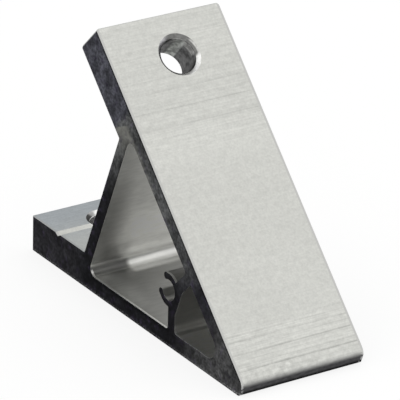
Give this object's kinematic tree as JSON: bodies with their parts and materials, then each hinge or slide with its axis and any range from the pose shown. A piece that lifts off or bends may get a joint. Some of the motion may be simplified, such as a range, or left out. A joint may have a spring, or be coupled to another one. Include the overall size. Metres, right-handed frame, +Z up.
{
  "type": "angle bracket",
  "caption": "Extruded aluminium angle bracket with a hollow braced section, a screw port inside, and a drilled and bevelled hole near the free end of each leg.",
  "frame": {"origin": "middle of the underside's box: halfway along the cut length and halfway from the toe to the base leg's free end", "axes": "+X along the extrusion, across the sawn ends; +Y from the toe towards the base leg's free end; +Z up, square to the base leg's underside"},
  "size_m": [0.032, 0.087, 0.0638],
  "materials": {
    "aluminium": "mill finish with fine die lines along the extrusion, sawn ends and bright drilled bevels"
  },
  "bodies": {
    "root": {"angle_bracket": "aluminium"}
  },
  "joints": []
}
